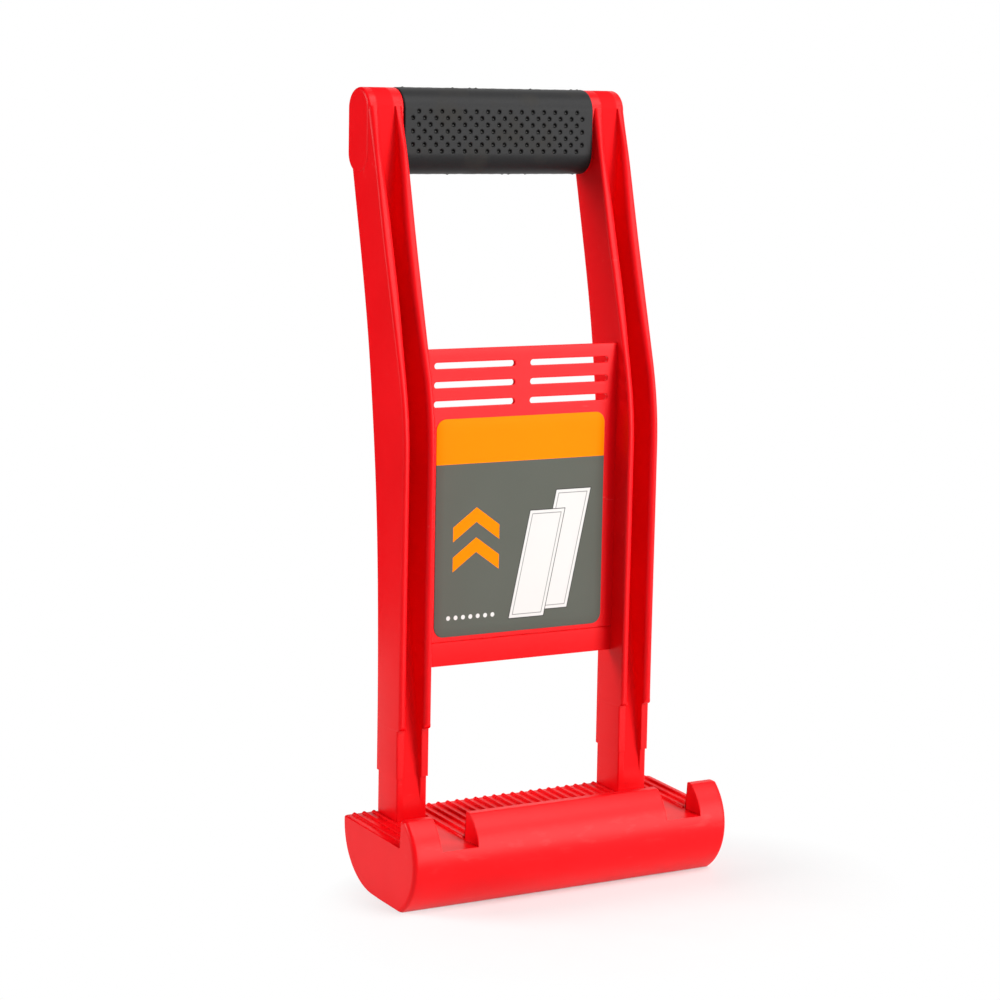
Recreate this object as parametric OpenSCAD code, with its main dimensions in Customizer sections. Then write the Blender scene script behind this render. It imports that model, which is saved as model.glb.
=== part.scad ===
// Panel carrier: a leaning frame with a padded grip, standing in a hollow foot with a hooked lip.
// X runs across the carrier, the front faces -Y, Z is up.
// The origin is the middle of the foot's flat underside.

/* [Foot] */
// Width of the foot from end to end
foot_w = 170.8; // [162:0.2:200]
// Height of the shelf, which is also the radius of the rounded back
shelf_z = 29.5; // [28:0.1:31]
// Depth of the flat underside
flat_d = 24.7; // [22:0.1:28]
// Radius of the rounded front
nose_r = 26.6; // [25:0.1:29]
// Height of the rounded front's centre
nose_z = 21.4; // [20:0.1:22]
// Top of the hooked lip
lip_z = 41.6; // [39:0.1:44]
// Distance of the lip's inner face ahead of the origin
lip_y = 9.8; // [8:0.1:12]
// Wall of the foot
foot_wall = 3; // [2.5:0.1:3.4]
// Thickness of the shelf
shelf_t = 3.5; // [3:0.1:4]
// Room left beside a leg by the notch in front of it
notch_room = 1.2; // [0.5:0.1:2]

/* [Shelf ribs] */
// Spacing of the ribs on the shelf
rib_pitch = 5.13; // [4.5:0.01:6]
// Radius of a rib's rounded top
rib_r = 0.9; // [0.6:0.1:1.2]

/* [Frame] */
// Backward lean of the frame, in degrees
lean = 4.4; // [3:0.1:6]
// Where the frame's reference plane meets the floor
frame_y = 24.6; // [23:0.1:26]
// Distance between the rails
rail_gap = 105.2; // [98:0.2:112]
// Width of a rail
rail_w = 17; // [16:0.1:19]
// Thickness of a rail's two side walls
side_t = 4; // [3.4:0.1:5]
// Thickness of a rail's back wall
back_t = 3.6; // [3:0.1:5]
// Front of the side walls ahead of the reference plane
rib_front = 8.1; // [7:0.1:9]
// Front of the lower leg ahead of the reference plane
leg_front = 5.4; // [4.8:0.1:6]
// Back of the leg behind the reference plane
leg_back = 13.2; // [12.5:0.1:14]
// Height at which the side walls end above the leg
rib_end = 72; // [66:1:80]
// Height at which the back starts to curve
back_start = 76; // [70:1:84]
// Radius of the curved back
back_r = 1110; // [1060:10:1200]
// Height of the bend in the side walls
bend_v = 217.3; // [212:0.1:222]
// Rounding of the side walls' front edges
rib_round = 1.8; // [1:0.1:1.9]
// Rounding of a rail's back edges
back_round = 1.5; // [0.8:0.1:3]
// Angle of the bend, in degrees
bend_angle = 14.6; // [14:0.1:15.2]
// Radius of the bend
bend_r = 160; // [120:5:220]
// Height of the channel's lower tip
tip_v = 37.4; // [36:0.1:44]
// Slope of the channel's lower floor, in degrees
tip_slope = 12; // [10:0.5:14]
// Height of the step round the leg
step_z = 50; // [46:1:56]
// Depth of the step round the leg
step_d = 0.6; // [0.3:0.1:1]

/* [Grip] */
// Radius of the grip's rounded top and bottom
grip_r = 10; // [9:0.1:11]
// Height of the grip's flat front
grip_flat = 19.2; // [16:0.1:22]
// Height of the grip's centre
grip_v = 342.6; // [336:0.1:348]
// Grip's centre behind the reference plane
grip_back = 36.3; // [35.3:0.1:37.3]
// Thickness of the rubber sleeve
sleeve_t = 2.8; // [2:0.1:3.4]
// Height of the sleeve's surface above the ears'
sleeve_proud = 0.3; // [0:0.05:0.5]
// Wall of the bar inside the sleeve
bar_wall = 3; // [2:0.1:4]
// Depth of the bar's seat in each ear
bar_seat = 8; // [5:0.5:10]
// Height of an ear's shoulder above the rail's inner face
ear_shoulder = 1; // [0.4:0.1:1.5]
// Rounding of an ear's outer edge
ear_round = 2; // [1:0.1:3]
// Pits along a long row
pit_count = 16; // [10:1:16]
// Rows of pits
pit_rows = 7; // [3:2:7]
// Spacing of the pits along a row
pit_pitch = 5.9; // [5:0.1:6]
// Spacing of the rows
pit_row_pitch = 3.1; // [2.7:0.1:3.2]
// Radius of a pit
pit_r = 1.15; // [0.8:0.05:1.3]

/* [Web panel] */
// Lower edge of the web panel
web_bottom = 98.2; // [90:0.1:106]
// Upper edge of the web panel
web_top = 245; // [240:0.1:250]
// Front of the web panel behind the reference plane
web_front = 3; // [2:0.1:4]
// Thickness of the web panel
web_t = 1.8; // [1.5:0.1:3]
// Depth of the web panel's seat in each rail
web_seat = 2; // [1:0.1:2.5]
// Height of a slot
slot_h = 2.9; // [2.4:0.1:3.4]
// Spacing of the slots
slot_pitch = 8.8; // [7:0.1:9.5]
// Slots above one another
slot_rows = 3; // [1:1:3]
// Middle of the top slot below the panel's upper edge
slot_drop = 7.7; // [6:0.1:9]
// Inner end of a slot from the middle of the panel
slot_inner = 4.2; // [3:0.1:8]
// Outer end of a slot from the middle of the panel
slot_outer = 47.5; // [40:0.1:48]

/* [Label] */
// Width of the label
label_w = 92; // [80:1:94]
// Height of the label
label_h = 101; // [80:1:101]
// Rounding of the label's corners
label_r = 5; // [3:0.5:8]
// Thickness of the label
label_t = 0.3; // [0.2:0.05:0.5]
// Lower edge of the label above the panel's lower edge
label_rise = 13.6; // [10:0.1:14]

/* [Fastenings] */
// Length of a leg's tenon in the foot
tenon_len = 12; // [9:0.5:12.5]
// Depth of a leg's tenon, front to back
tenon_d = 9; // [8:0.5:9.5]
// Width of a leg's tenon
tenon_w = 10; // [9:0.5:11]
// Front of the tenon behind the leg's front at the shelf
tenon_inset = 1.4; // [1:0.1:2]
// Wall round the tenon's socket
socket_wall = 2.4; // [2:0.1:3]
// Radius of a leg screw's thread
leg_screw_r = 2; // [1.75:0.05:2.5]
// Length of a leg screw below its head
leg_screw_len = 11; // [9:0.5:11.5]
// Radius of a leg screw's head
leg_head_r = 3.5; // [3:0.1:4]
// Height of a leg screw's head
leg_head_h = 2.6; // [2:0.1:3]
// Radius of a cover screw's thread
cover_screw_r = 1.6; // [1.4:0.05:2]
// Length of a cover screw
cover_screw_len = 12; // [9:0.5:14]
// Radius of a cover screw's countersunk head
cover_head_r = 3.2; // [2.8:0.1:3.6]
// Height of a cover screw's countersunk head
cover_head_h = 1.8; // [1.4:0.1:2]
// Inner cover screws from the middle
cover_screw_near = 24; // [16:1:30]
// Spacing of the cover screws on each side
cover_screw_pitch = 44; // [36:1:48]
// Radius of a screw boss
boss_r = 4; // [3.4:0.1:4.5]
// Cover screws behind the origin
cover_screw_y = 3; // [2:0.1:4]

/* [Fits] */
// Clearance between pieces that are pushed together
fit_gap = 0.1; // [0.05:0.05:0.2]

/* [Hidden] */
$fn = 96;
// Facets of the two large arcs in the rail's side outline
fine = 1440;
// Overrun of cuts past the surface that they open
over = 2;
// Reach of the half spaces that trim the pieces
reach = 600;
// Depth of the bodies that are trimmed to make a rail
depth = 80;
// Height of the bent front above the straight ones that it crosses, and the angle by which it runs on inside them
bend_proud = 0.1;
bend_lap = 4;
// Depth of the curved back's start inside the straight one, and the straight one's run inside the curved one
back_sink = 0.2;
back_lap = 40;
// Depth of a driver recess as a share of its screw head's height
recess_depth_share = 0.6;
// Width of a driver recess as a share of its screw head's radius
recess_width_share = 0.35;
// Pit depth as a share of its radius
pit_depth_share = 0.7;

// Front of the flat underside and the rounded front's centre, which meets it
flat_front = -flat_d / 2;
flat_back = flat_d / 2;
nose_y = flat_front + sqrt(nose_r * nose_r - nose_z * nose_z);
shelf_back = flat_back + shelf_z;
shelf_under = shelf_z - shelf_t;
wall_inner_r = nose_r - foot_wall;
// Edge of the opening that the cover closes, at the floor
cover_front = nose_y - sqrt(wall_inner_r * wall_inner_r - nose_z * nose_z) + fit_gap;
inner_w = foot_w - 2 * foot_wall;

rail_in = rail_gap / 2;
rail_mid = rail_in + rail_w / 2;
channel_w = rail_w - 2 * side_t;
rib_rise = rib_front - leg_front;
ear_in = rail_in - ear_shoulder;
ear_w = rail_w + ear_shoulder;
ear_front = grip_back - grip_r;
sleeve_half = ear_in - fit_gap;
sleeve_r = grip_r + sleeve_proud;
bar_r = sleeve_r - sleeve_t;
bar_half = ear_in + bar_seat;
notch_in = rail_in - notch_room;
notch_w = rail_w + 2 * notch_room;

// Bend of the side walls: start of the arc and its centre
bend_start = bend_v - bend_r * tan(bend_angle / 2);
bend_centre = [bend_r - rib_front, bend_start];
// Height at which the sloping side walls meet the ear's front
rib_top = bend_v + (ear_front + rib_front) / tan(bend_angle);

// Shelf ribs on each side of the middle one between the legs, first rib outside a leg, and their number there
rib_count = floor((rail_in - rib_r) / rib_pitch);
outer_rib = rail_in + rail_w + rib_r;
outer_rib_count = 1 + floor((foot_w / 2 - outer_rib - rib_r) / rib_pitch);

// Tenon of a leg: front, middle and lower end
tenon_front = frame_y - leg_front * cos(lean) + shelf_z * tan(lean) + step_d + tenon_inset;
tenon_y = tenon_front + tenon_d / 2;
tenon_z = shelf_z - tenon_len;
socket_z = tenon_z - socket_wall;
pit_sphere_r = pit_r * (1 + pit_depth_share * pit_depth_share) / (2 * pit_depth_share);

// Front distance of the sloping side wall at a height above the bend
function rib_line(v) = (v - bend_v) * tan(bend_angle) - rib_front;

// Places a shape drawn in the frame's own upright axes onto the leaning frame
module in_frame() {
  translate([0, frame_y, 0]) rotate([-lean, 0, 0]) children();
}

// Runs a side outline along X, from one X over a width
module along_x(start, width) {
  translate([start, 0, 0]) rotate([90, 0, 90]) linear_extrude(height = width) children();
}

// Everything between two heights
module slab(low, high) {
  translate([-reach, -reach, low]) cube([2 * reach, 2 * reach, high - low]);
}

module both_sides() {
  children();
  mirror([1, 0, 0]) children();
}

// Upright stadium, flat sides with rounded top and bottom
module stadium(radius) {
  translate([-radius, -grip_flat / 2]) square([2 * radius, grip_flat]);
  translate([0, grip_flat / 2]) circle(radius);
  translate([0, -grip_flat / 2]) circle(radius);
}

// Level stadium between two places, for the slots
module slot(first, last, height) {
  translate([first + height / 2, -height / 2]) square([last - first - height, height]);
  translate([first + height / 2, 0]) circle(height / 2);
  translate([last - height / 2, 0]) circle(height / 2);
}

// Side outline of a rail, open to the front and back, where the rounded bodies set its surface
module rail_outline() {
  translate([-leg_front, 0]) square([depth, rib_end + rib_rise]);
  translate([-leg_front, rib_end + rib_rise]) circle(rib_rise);
  translate([-rib_front - over, rib_end + rib_rise]) square([depth, grip_v - rib_end - rib_rise]);
  polygon([[rib_line(grip_v), grip_v], [ear_front, rib_top], [grip_back, rib_top], [grip_back, grip_v]]);
}

// Plan of a rail with rounded back edges; the back lies at zero
module back_plan() {
  translate([rail_in, -depth]) square([rail_w, depth - back_round]);
  translate([rail_in + back_round, -depth]) square([rail_w - 2 * back_round, depth]);
  for (x = [rail_in + back_round, rail_in + rail_w - back_round]) translate([x, -back_round]) circle(back_round);
}

// Plan of a rail with rounded side walls; their front lies at zero
module front_plan() {
  translate([rail_in, rib_round]) square([rail_w, depth]);
  for (x = [rail_in, rail_in + rail_w - side_t]) {
    translate([x + rib_round, 0]) square([side_t - 2 * rib_round, depth]);
    for (dx = [rib_round, side_t - rib_round]) translate([x + dx, rib_round]) circle(rib_round);
  }
}

// Turns a plan about an X axis at a radius
module about_x(radius) {
  rotate([0, 90, 0]) rotate_extrude($fn = fine) rotate(90) mirror([0, 1]) translate([0, radius]) children();
}

// Straight leg and curved back of a rail
module back_body() {
  translate([0, leg_back, 0]) linear_extrude(height = back_start + back_lap) back_plan();
  intersection() {
    translate([0, leg_back - back_sink + back_r, back_start]) about_x(back_r) mirror([0, 1]) back_plan();
    slab(back_start, reach);
  }
}

// Straight, bent and sloping front of a rail
module front_body() {
  translate([0, -rib_front, 0]) linear_extrude(height = bend_start) front_plan();
  intersection() {
    translate([0, bend_centre[0], bend_centre[1]]) about_x(bend_r + bend_proud) mirror([0, 1]) front_plan();
    along_x(rail_in - over, rail_w + 2 * over)
      polygon([bend_centre, bend_centre - reach * [cos(bend_lap), sin(bend_lap)],
               bend_centre + reach * [-cos(bend_angle + bend_lap), sin(bend_angle + bend_lap)]]);
  }
  translate([0, bend_centre[0], bend_centre[1]]) rotate([-bend_angle, 0, 0]) translate([0, -bend_r, 0])
    linear_extrude(height = reach) front_plan();
}

// Side outline of the channel between a rail's side walls
module channel_outline() {
  rise = rib_top + over - tip_v;
  difference() {
    intersection() {
      polygon([[-leg_front, tip_v], [rise * tan(tip_slope) - leg_front, tip_v + rise],
               [-reach, tip_v + rise], [-reach, tip_v]]);
      translate([-reach, 0]) square([reach + ear_front, reach]);
    }
    translate([leg_back + back_r, back_start]) circle(back_r + back_t, $fn = fine);
    translate([leg_back - back_t, 0]) square([back_t + over, back_start]);
  }
}

// Section of an ear across its width, rounded at the outer edge
module ear_profile() {
  translate([0, ear_in]) square([grip_r, ear_w - ear_round]);
  translate([0, ear_in]) square([grip_r - ear_round, ear_w]);
  translate([grip_r - ear_round, ear_in + ear_w - ear_round]) circle(ear_round);
}

module ear() {
  translate([0, grip_back, grip_v]) {
    for (end = [-1, 1])
      translate([0, 0, end * grip_flat / 2]) rotate([90, 0, 90]) rotate_extrude() ear_profile();
    translate([0, 0, -grip_flat / 2]) linear_extrude(height = grip_flat)
      for (turn = [0, 1]) mirror([0, turn]) rotate(90) mirror([0, 1]) ear_profile();
  }
}

module rail() {
  difference() {
    union() {
      intersection() {
        in_frame() intersection() {
          along_x(rail_in - over, rail_w + 2 * over) rail_outline();
          back_body();
          front_body();
        }
        slab(step_z, reach);
      }
      intersection() {
        in_frame() along_x(rail_in + step_d, rail_w - 2 * step_d)
          translate([step_d - leg_front, 0]) square([leg_front + leg_back - 2 * step_d, rib_end]);
        slab(shelf_z, step_z);
      }
      in_frame() ear();
      translate([rail_mid - tenon_w / 2, tenon_front, tenon_z]) cube([tenon_w, tenon_d, tenon_len + over]);
    }
    in_frame() along_x(rail_in + side_t, channel_w) channel_outline();
    in_frame() along_x(rail_in - over, over + web_seat + fit_gap)
      translate([web_front - fit_gap, web_bottom - fit_gap])
        square([web_t + 2 * fit_gap, web_top - web_bottom + 2 * fit_gap]);
    in_frame() along_x(ear_in - over, over + bar_seat + fit_gap)
      translate([grip_back, grip_v]) stadium(bar_r + fit_gap);
    translate([rail_mid, tenon_y, socket_z - over]) cylinder(h = leg_screw_len + over, r = leg_screw_r);
  }
}

module left_rail() {
  color("#e8141c") mirror([1, 0, 0]) rail();
}

module right_rail() {
  color("#e8141c") rail();
}

module web_panel() {
  half = rail_in + web_seat;
  color("#f0242a") in_frame() translate([0, web_front + web_t, 0]) rotate([90, 0, 0]) linear_extrude(height = web_t)
    difference() {
      translate([-half, web_bottom]) square([2 * half, web_top - web_bottom]);
      for (row = [0 : slot_rows - 1], side = [0, 1])
        mirror([side, 0]) translate([0, web_top - slot_drop - row * slot_pitch])
          slot(slot_inner, slot_outer, slot_h);
    }
}

module handle_bar() {
  color("#c01018") in_frame() along_x(-bar_half, 2 * bar_half) translate([grip_back, grip_v])
    difference() {
      stadium(bar_r);
      stadium(bar_r - bar_wall);
    }
}

module pits() {
  for (row = [0 : pit_rows - 1]) {
    count = pit_count - (row + 1) % 2;
    for (i = [0 : count - 1])
      translate([(i - (count - 1) / 2) * pit_pitch, pit_r * pit_depth_share - pit_sphere_r,
                 ((pit_rows - 1) / 2 - row) * pit_row_pitch])
        sphere(pit_sphere_r);
  }
}

module grip_sleeve() {
  color("#2b2b2b") in_frame() difference() {
    along_x(-sleeve_half, 2 * sleeve_half) translate([grip_back, grip_v])
      difference() {
        stadium(sleeve_r);
        stadium(bar_r + fit_gap);
      }
    for (turn = [0, 180])
      translate([0, grip_back, grip_v]) rotate([0, 0, turn]) translate([0, -sleeve_r, 0]) pits();
  }
}

module label() {
  color("#77776f") in_frame() translate([0, web_front, web_bottom + label_rise]) rotate([90, 0, 0])
    linear_extrude(height = label_t) {
      translate([-label_w / 2 + label_r, 0]) square([label_w - 2 * label_r, label_h]);
      translate([-label_w / 2, label_r]) square([label_w, label_h - 2 * label_r]);
      for (x = [-1, 1], z = [label_r, label_h - label_r])
        translate([x * (label_w / 2 - label_r), z]) circle(label_r);
    }
}

// Section of the foot below the shelf, drawn in by an inset
module foot_section(inset) {
  intersection() {
    translate([nose_y, nose_z]) circle(nose_r - inset);
    translate([nose_y - nose_r, inset]) square([nose_r, shelf_z - inset]);
  }
  translate([nose_y - foot_wall, inset]) square([flat_back - nose_y + foot_wall, shelf_z - inset]);
  intersection() {
    translate([flat_back, shelf_z]) circle(shelf_z - inset);
    translate([flat_back - foot_wall, inset]) square([shelf_z + foot_wall, shelf_z - inset]);
  }
}

module lip_section() {
  intersection() {
    translate([nose_y, nose_z]) circle(nose_r);
    translate([-lip_y - nose_r, shelf_under]) square([nose_r, lip_z - shelf_under]);
  }
}

module shelf_rib(x) {
  translate([x, -lip_y - over, shelf_z]) rotate([-90, 0, 0])
    cylinder(h = lip_y + over + shelf_back - rib_r, r = rib_r);
}

// Places of the cover screws, upright from the floor
module at_cover_screws() {
  for (side = [-1, 1], step = [0, 1])
    translate([side * (cover_screw_near + step * cover_screw_pitch), cover_screw_y, 0]) children();
}

module foot_tray() {
  socket_w = tenon_w + 2 * socket_wall;
  socket_d = tenon_d + 2 * socket_wall;
  color("#e8141c") difference() {
    union() {
      difference() {
        along_x(-foot_w / 2, foot_w) {
          foot_section(0);
          lip_section();
        }
        along_x(-inner_w / 2, inner_w) {
          intersection() {
            translate([nose_y, nose_z]) circle(wall_inner_r);
            translate([nose_y - nose_r, -over]) square([nose_r, shelf_under + over]);
          }
          translate([nose_y, -over]) square([reach, shelf_under + over]);
        }
        both_sides() translate([notch_in, -reach, shelf_z]) cube([notch_w, reach, reach]);
      }
      for (i = [-rib_count : rib_count]) shelf_rib(i * rib_pitch);
      both_sides() for (i = [0 : outer_rib_count - 1]) shelf_rib(outer_rib + i * rib_pitch);
      intersection() {
        both_sides() translate([rail_mid - socket_w / 2, tenon_front - socket_wall, socket_z])
          cube([socket_w, socket_d, shelf_z - socket_z]);
        along_x(-foot_w / 2, foot_w) foot_section(foot_wall + fit_gap);
      }
      at_cover_screws() translate([0, 0, foot_wall]) cylinder(h = shelf_under + over - foot_wall, r = boss_r);
    }
    both_sides() {
      translate([rail_mid - tenon_w / 2 - fit_gap, tenon_front - fit_gap, tenon_z])
        cube([tenon_w + 2 * fit_gap, tenon_d + 2 * fit_gap, reach]);
      translate([rail_mid, tenon_y, socket_z - over])
        cylinder(h = socket_wall + 2 * over, r = leg_screw_r + fit_gap);
    }
    at_cover_screws() cylinder(h = cover_screw_len, r = cover_screw_r);
  }
}

module foot_cover() {
  cover_w = inner_w - 2 * fit_gap;
  color("#c8141a") difference() {
    along_x(-cover_w / 2, cover_w)
      difference() {
        intersection() {
          foot_section(0);
          translate([cover_front, 0]) square([reach, shelf_under]);
        }
        foot_section(foot_wall);
      }
    at_cover_screws() translate([0, 0, -over]) cylinder(h = foot_wall + 2 * over, r = cover_screw_r + fit_gap);
    at_cover_screws() cylinder(h = cover_head_h, r1 = cover_head_r, r2 = cover_screw_r);
  }
}

module leg_screws() {
  color("#b8bcc0") both_sides() translate([rail_mid, tenon_y, socket_z])
    difference() {
      union() {
        translate([0, 0, -leg_head_h]) cylinder(h = leg_head_h, r = leg_head_r);
        translate([0, 0, -over / 2]) cylinder(h = leg_screw_len + over / 2, r = leg_screw_r);
      }
      for (turn = [0, 90]) rotate(turn)
        translate([-leg_head_r / 2, -leg_head_r * recess_width_share / 2, -leg_head_h - over])
          cube([leg_head_r, leg_head_r * recess_width_share, leg_head_h * recess_depth_share + over]);
    }
}

module cover_screws() {
  color("#b8bcc0") at_cover_screws()
    difference() {
      union() {
        cylinder(h = cover_head_h, r1 = cover_head_r, r2 = cover_screw_r);
        cylinder(h = cover_screw_len, r = cover_screw_r);
      }
      for (turn = [0, 90]) rotate(turn)
        translate([-cover_head_r / 2, -cover_head_r * recess_width_share / 2, -over])
          cube([cover_head_r, cover_head_r * recess_width_share, cover_head_h * recess_depth_share + over]);
    }
}

left_rail();
right_rail();
web_panel();
handle_bar();
grip_sleeve();
label();
foot_tray();
foot_cover();
leg_screws();
cover_screws();
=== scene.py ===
# %% [markdown]
# # A panel carrier
# A panel carrier is a hand tool: you hook its foot under a board and lift the board by the grip.
# The packed CAD model gives every piece its place. This script gives the pieces their moulded
# shapes, with rounded edges and run-outs, and their finishes.

# %% Load the packed model
import math
import bmesh
import bpy
import numpy as np
from mathutils import Matrix


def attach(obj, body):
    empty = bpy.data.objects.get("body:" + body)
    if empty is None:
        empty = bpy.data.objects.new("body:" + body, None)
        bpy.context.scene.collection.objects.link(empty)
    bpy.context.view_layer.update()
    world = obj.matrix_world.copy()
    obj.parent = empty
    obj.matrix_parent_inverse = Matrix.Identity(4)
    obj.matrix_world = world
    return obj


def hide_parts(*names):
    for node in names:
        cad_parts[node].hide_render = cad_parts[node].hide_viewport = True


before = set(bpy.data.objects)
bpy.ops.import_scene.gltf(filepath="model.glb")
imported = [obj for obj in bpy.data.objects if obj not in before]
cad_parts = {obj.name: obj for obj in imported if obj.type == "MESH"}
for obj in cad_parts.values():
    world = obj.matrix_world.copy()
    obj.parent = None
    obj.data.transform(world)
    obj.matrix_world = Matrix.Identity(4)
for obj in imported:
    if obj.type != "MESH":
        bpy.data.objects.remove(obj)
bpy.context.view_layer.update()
print("nodes:", sorted(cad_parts))

# %% [markdown]
# ## Grids of points
# Each new piece is a surface: a grid of points, worked out as whole arrays. Four neighbouring points make
# a face. Such shapes could be modelled by hand, but a formula can be read, measured and changed. The sign
# of a closed grid's volume tells whether its faces look outwards.

# %% Faces of a grid
def faces_of(rows, columns, ring, loop):
    """Four corners of every cell of a grid; ring joins the last column to the first, loop the last row."""
    index = np.arange(rows * columns).reshape(rows, columns)
    if ring:
        index = np.concatenate([index, index[:, :1]], 1)
    if loop:
        index = np.concatenate([index, index[:1]], 0)
    return np.stack([index[:-1, :-1], index[:-1, 1:], index[1:, 1:], index[1:, :-1]], -1).reshape(-1, 4)


def signed_volume(points, faces):
    """Sum of the small pyramids from the origin to each face: positive when the faces look outwards."""
    a, b, c, d = (points[faces[:, k]] for k in range(4))
    return (np.einsum("ij,ij->i", a, np.cross(b, c)) + np.einsum("ij,ij->i", a, np.cross(c, d))).sum() / 6


print("faces between 3 rings of 4 points:", len(faces_of(3, 4, True, False)))

# %% [markdown]
# ## From grids to a piece
# One helper joins grids into a piece. Points that fall together are merged, holes between open sheets are
# filled, and corners sharper than an angle keep a crisp edge. Sizes are in millimetres until this step,
# because that is how a maker thinks of them.

# %% Piece from grids
MM, MERGE, SLIVER = 0.001, 2e-6, 1e-6


def closed_shell(grid, loop):
    """Points, cells and end caps of rows of closed rings, turned so that they look outwards."""
    rows, columns = grid.shape[:2]
    flat, cells = grid.reshape(-1, 3), faces_of(rows, columns, True, loop)
    caps = [] if loop else [np.arange(columns)[::-1], np.arange(columns) + (rows - 1) * columns]
    fans = [np.stack([np.full(columns, c[0]), c, np.roll(c, -1), np.roll(c, -1)], 1) for c in caps]
    if signed_volume(flat, np.concatenate([cells] + fans)) < 0:
        cells, caps = cells[:, ::-1], [c[::-1] for c in caps]
    return flat, cells, caps


def weld(mesh, fill):
    """Merges points that fall together, fills holes where asked, and counts the edges that stay open."""
    work = bmesh.new()
    work.from_mesh(mesh)
    bmesh.ops.remove_doubles(work, verts=work.verts, dist=MERGE)
    bmesh.ops.dissolve_degenerate(work, edges=work.edges, dist=SLIVER)
    if fill:
        bmesh.ops.holes_fill(work, edges=[e for e in work.edges if e.is_boundary], sides=0)
        bmesh.ops.recalc_face_normals(work, faces=work.faces)
    work.to_mesh(mesh)
    open_edges = sum(len(e.link_faces) != 2 for e in work.edges)
    work.free()
    return open_edges


def make_piece(name, shells, sheets=(), sharp=32, values=None):
    """Builds one object. A shell is (grid, loop): rows of closed rings, in mm; with loop the last row meets
    the first, otherwise both end rows are closed by a face. A sheet is (grid, ring), open until it is merged
    with its neighbours. values is one number per point of the first shell, kept as "mark"."""
    points, faces, start = [], [], 0
    for grid, loop in shells:
        flat, cells, caps = closed_shell(grid, loop)
        faces += (cells + start).tolist() + [(c + start).tolist() for c in caps]
        points.append(flat)
        start += len(flat)
    for grid, ring in sheets:
        faces += (faces_of(grid.shape[0], grid.shape[1], ring, False) + start).tolist()
        points.append(grid.reshape(-1, 3))
        start += grid.shape[0] * grid.shape[1]
    mesh = bpy.data.meshes.new(name)
    mesh.from_pydata((np.concatenate(points) * MM).tolist(), [], faces)
    if values is not None:
        mark = mesh.attributes.new("mark", "FLOAT", "POINT")
        mark.data.foreach_set("value", values.ravel().astype(np.float32))
    open_edges = weld(mesh, bool(sheets))
    mesh.polygons.foreach_set("use_smooth", np.ones(len(mesh.polygons), bool))
    mesh.set_sharp_from_angle(angle=math.radians(sharp))
    piece = bpy.data.objects.new(name, mesh)
    bpy.context.scene.collection.objects.link(piece)
    triangles = sum(len(p.vertices) - 2 for p in mesh.polygons)
    print(f"{name}: {len(mesh.vertices)} points, {triangles} triangles, {open_edges} open edges")
    return piece


print("points within", MERGE / MM, "mm are merged")

# %% [markdown]
# ## Soft steps and arcs
# A moulding rarely changes at once: a wall thickens over some height, and an edge is round. A few small
# formulas serve every piece, so that no edge needs a modifier of its own.

# %% Soft steps and arcs
def ease(low, high, value):
    """0 below low, 1 above high, and a soft S between them."""
    t = np.clip((value - low) / (high - low), 0, 1)
    return t * t * (3 - 2 * t)


def change(span, v):
    """A soft change along the height v. span says from which height, to which height, and by how much."""
    low, high, amount = span
    return amount * ease(low, high, v)


def soft_min(a, b, blend):
    """The lower of two heights, with their crossing rounded over a width."""
    return 0.5 * (a + b - np.sqrt((a - b) ** 2 + blend * blend))


def column(first, last, count):
    """Evenly spaced values, one below the other, so that they spread over all stations."""
    return np.linspace(first, last, count)[:, None]


def arc(cx, cy, radius, first, last, count):
    """Points of a circle from one angle to another, in degrees, for every station at once."""
    turn = np.radians(column(first, last, count))
    return cx + radius * np.cos(turn), cy + radius * np.sin(turn)


print("a soft step at a quarter, a half and three quarters:", ease(0, 1, np.array([0.25, 0.5, 0.75])))

# %% [markdown]
# ## The leaning frame's own axes
# Rails, web, label and grip lean back a little. They could be drawn in place, with the lean in every
# formula. It is easier to draw them upright, in x, depth w and height v, and to lean the finished points.

# %% Lean
LEAN, FRAME_Y = math.radians(4.4), 24.6


def leaned(x, w, v):
    """Upright x, depth and height to the row frame: a turn about X by the lean, then the frame's place."""
    x, w, v = np.broadcast_arrays(x, w, v)
    return np.stack([x, FRAME_Y + w * math.cos(LEAN) + v * math.sin(LEAN),
                     v * math.cos(LEAN) - w * math.sin(LEAN)], -1)


print("a point 300 mm up leans back to y =", round(float(leaned(0.0, 0.0, 300.0)[1]), 1), "mm")

# %% [markdown]
# ## Rails
# A rail is a U-shaped moulding that opens to the front. Its back bows, its two side walls bend back
# below the grip, and its channel runs out in a point near the foot. A box with bevels would miss all
# of that, so one closed outline is carried up through many stations, and each station has its own
# front, back, channel depth and roundings.

# %% Rail seen from the side
LEG_FRONT, LEG_BACK = -5.4, 13.2
RIB_FRONT, RIB_END = -7.55, 72.0
RIB_RISE = LEG_FRONT - RIB_FRONT
BEND_V, BEND_R, BEND = 217.3, 160.0, math.radians(14.6)
FRONT_FILLS, FRONT_EASES, FRONT_TOP = (85, 205, -0.7), (205, 245, 0.15), (285, 345, -1.0)
BACK_START, BACK_R, BACK_T, BACK_TOP = 76.0, 1110.0, 3.6, (240, 325, 1.5)
TIP_V, TIP_SLOPE, TIP_BLEND = 34.8, math.tan(math.radians(8.6)), 0.8
EAR_FRONT, EAR_BLEND = 27.15, 0.5


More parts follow.
